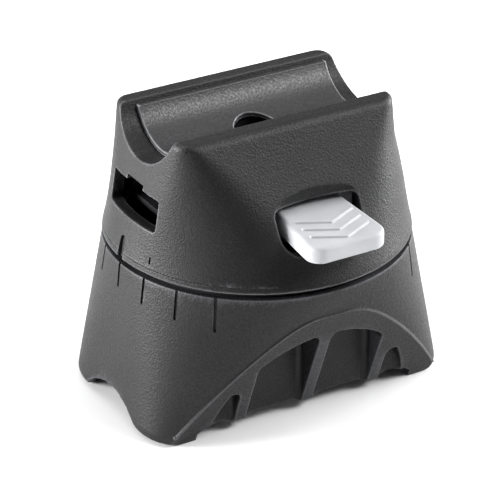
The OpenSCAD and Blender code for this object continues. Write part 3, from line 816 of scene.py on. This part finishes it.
# Light grey moulded plastic, satin and even, with the faintest cloudiness and a very fine grain.
def moulded_grey(name):
    material, tree, out = blank(name)
    place = add(tree, "ShaderNodeTexCoord").outputs["Object"]
    cloud = add(tree, "ShaderNodeTexNoise", {}, {"Vector": place, "Scale": 1 / (5 * MM), "Detail": 3.0})
    grain = add(tree, "ShaderNodeTexNoise", {}, {"Vector": place, "Scale": 1 / (0.3 * MM), "Detail": 2.0})
    tone = add(tree, "ShaderNodeValToRGB", {}, {"Fac": cloud.outputs["Fac"]},
               [(0.3, hexed("#a5a6a9")), (0.7, hexed("#afb0b3"))])
    sheen = add(tree, "ShaderNodeMapRange", {}, {
        "Value": grain.outputs["Fac"], "From Min": 0.3, "From Max": 0.7, "To Min": 0.58, "To Max": 0.48})
    bump = add(tree, "ShaderNodeBump", {},
               {"Height": grain.outputs["Fac"], "Strength": 0.3, "Distance": 0.008 * MM})
    shader = add(tree, "ShaderNodeBsdfPrincipled", {}, {
        "Base Color": tone.outputs["Color"], "Roughness": sheen.outputs["Result"],
        "Normal": bump.outputs["Normal"],
        "IOR": 1.49, "Subsurface Weight": 0.08, "Subsurface Radius": (0.4, 0.4, 0.4),
        "Subsurface Scale": 0.4 * MM})
    tree.links.new(shader.outputs["BSDF"], out.inputs["Surface"])
    return material


tab_grey = moulded_grey("moulded_grey_plastic")
finish_piece(tab, "tab", tab_grey, replaces=["release_button"])


# ---- Turntable ----
# A black nylon plate closes the housing from below and turns on the thrust washer. Four plated screws hold
# it, a flanged acetal bush lines its bore, and a steel pin in the base's curved track limits the swivel.

# the third colour is the painted edge highlight colour; the CAD parts that use this material carry no bend
# values, so it hardly shows
inner_nylon = moulded_nylon("plain_black_nylon", "#18181a", "#202022", "#4a4a4d", rough=0.45, grain_mm=0.3,
                            height_mm=0.01, shift=0.09, gloss=0.4)
dress("turntable_plate", inner_nylon)
dress("turntable_screws", zinc_steel)
dress("pivot_bush", acetal)
dress("stop_pin", zinc_steel)


# ---- Latch frame and plate ----
# The frame is a dark nylon sleeve round the tongue slot, and stands on the turntable plate. A pressed steel
# plate, riveted under the tab, hooks up into the slot behind the lock's tongue.

dress("latch_frame", inner_nylon)
dress("latch_plate", zinc_steel)
dress("latch_rivets", zinc_steel)


# ---- Return springs ----
# Two small coils of spring wire push the tab outwards. They stand between the latch frame and cups in the
# back of the tab's block, with their turns closer at both ends.

spring_low, spring_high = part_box("return_springs")
coil_r, wire_r, coil_turns = 2.14, 0.25, 5
coil_back, coil_front = spring_high.y / MM - wire_r, spring_low.y / MM + wire_r
for side, word in ((-1, "left"), (1, "right")):
    rows = []
    for i in range(coil_turns * 24 + 1):
        f = i / (coil_turns * 24)
        angle = 2 * math.pi * coil_turns * f
        closed = f * (1 - 0.35) + 0.35 * (0.5 - 0.5 * math.cos(math.pi * f))
        out = Vector((math.cos(angle), 0, math.sin(angle)))
        middle = Vector((side * coil_x, coil_back + (coil_front - coil_back) * closed, coil_z)) + out * coil_r
        rows.append([tuple(middle + out * wire_r * math.cos(2 * math.pi * k / 10)
                           + Vector((0, wire_r * math.sin(2 * math.pi * k / 10), 0))) for k in range(10)])
    spring = skin("return_spring_" + word, rows)
    finish_piece(spring, "housing", spring_steel, 40, ["return_springs"])
    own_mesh(spring)


# ---- Photo studio ----
# A plain white floor, a big soft light overhead and one on each side, and a long lens.

floor_size = 4.0
mesh = bmesh.new()
for x, y in ((-1, -1), (1, -1), (1, 1), (-1, 1)):
    mesh.verts.new((x * floor_size, y * floor_size, 0))
mesh.faces.new(list(mesh.verts))
data = bpy.data.meshes.new("floor")
mesh.to_mesh(data)
mesh.free()
floor = bpy.data.objects.new("floor", data)
bpy.context.scene.collection.objects.link(floor)
paper, tree, out = blank("white_paper_floor")
shader = add(tree, "ShaderNodeBsdfPrincipled", {}, {"Base Color": hexed("#fafafa"), "Roughness": 0.9,
                                                    "Specular IOR Level": 0.1})
tree.links.new(shader.outputs["BSDF"], out.inputs["Surface"])
floor.data.materials.append(paper)

world = bpy.data.worlds.new("studio")
bpy.context.scene.world = world
world.use_nodes = True
tree = world.node_tree
tree.nodes.clear()
out = tree.nodes.new("ShaderNodeOutputWorld")
direction = add(tree, "ShaderNodeTexCoord").outputs["Generated"]
camera_side = Vector((-0.52, -0.83, 0.18)).normalized()
facing = add(tree, "ShaderNodeVectorMath", {"operation": "DOT_PRODUCT"},
             {0: direction, 1: tuple(camera_side)})
shade = add(tree, "ShaderNodeMapRange", {"interpolation_type": "SMOOTHSTEP"},
            {"Value": facing.outputs["Value"], "From Min": 0.15, "From Max": 0.85, "To Min": 0.55,
             "To Max": 0.02})
back = add(tree, "ShaderNodeBackground", {}, {"Color": (1, 1, 1, 1), "Strength": shade.outputs["Result"]})
tree.links.new(back.outputs["Background"], out.inputs["Surface"])


def softbox(name, place, width, height, watts, at=(0, 0, 0.03)):
    """A rectangular soft light that faces the object."""
    lamp = bpy.data.lights.new(name, "AREA")
    lamp.shape = "RECTANGLE"
    lamp.size, lamp.size_y, lamp.energy = width, height, watts
    box = bpy.data.objects.new(name, lamp)
    box.location = place
    box.rotation_euler = (Vector(at) - Vector(place)).to_track_quat("-Z", "Y").to_euler()
    bpy.context.scene.collection.objects.link(box)


softbox("overhead_light", (0.0, 0.3, 1.3), 1.2, 1.2, 7)
softbox("left_light", (-1.0, 0.45, 0.22), 0.5, 0.5, 33)
softbox("front_right_light", (0.62, -0.62, 0.9), 0.45, 0.45, 11)
softbox("right_edge_light", (0.95, -0.05, 0.22), 0.4, 0.5, 15)

lens = bpy.data.cameras.new("camera")
lens.lens = 193.5
lens.sensor_width = 36
lens.clip_start, lens.clip_end = 0.01, 20
camera = bpy.data.objects.new("camera", lens)
camera.location = (-0.23385, -0.39878, 0.27015)
camera.rotation_euler = (math.radians(90 - 27.822), 0, math.radians(-30.221))
bpy.context.scene.collection.objects.link(camera)
bpy.context.scene.camera = camera
bpy.context.scene.view_settings.view_transform = "Standard"
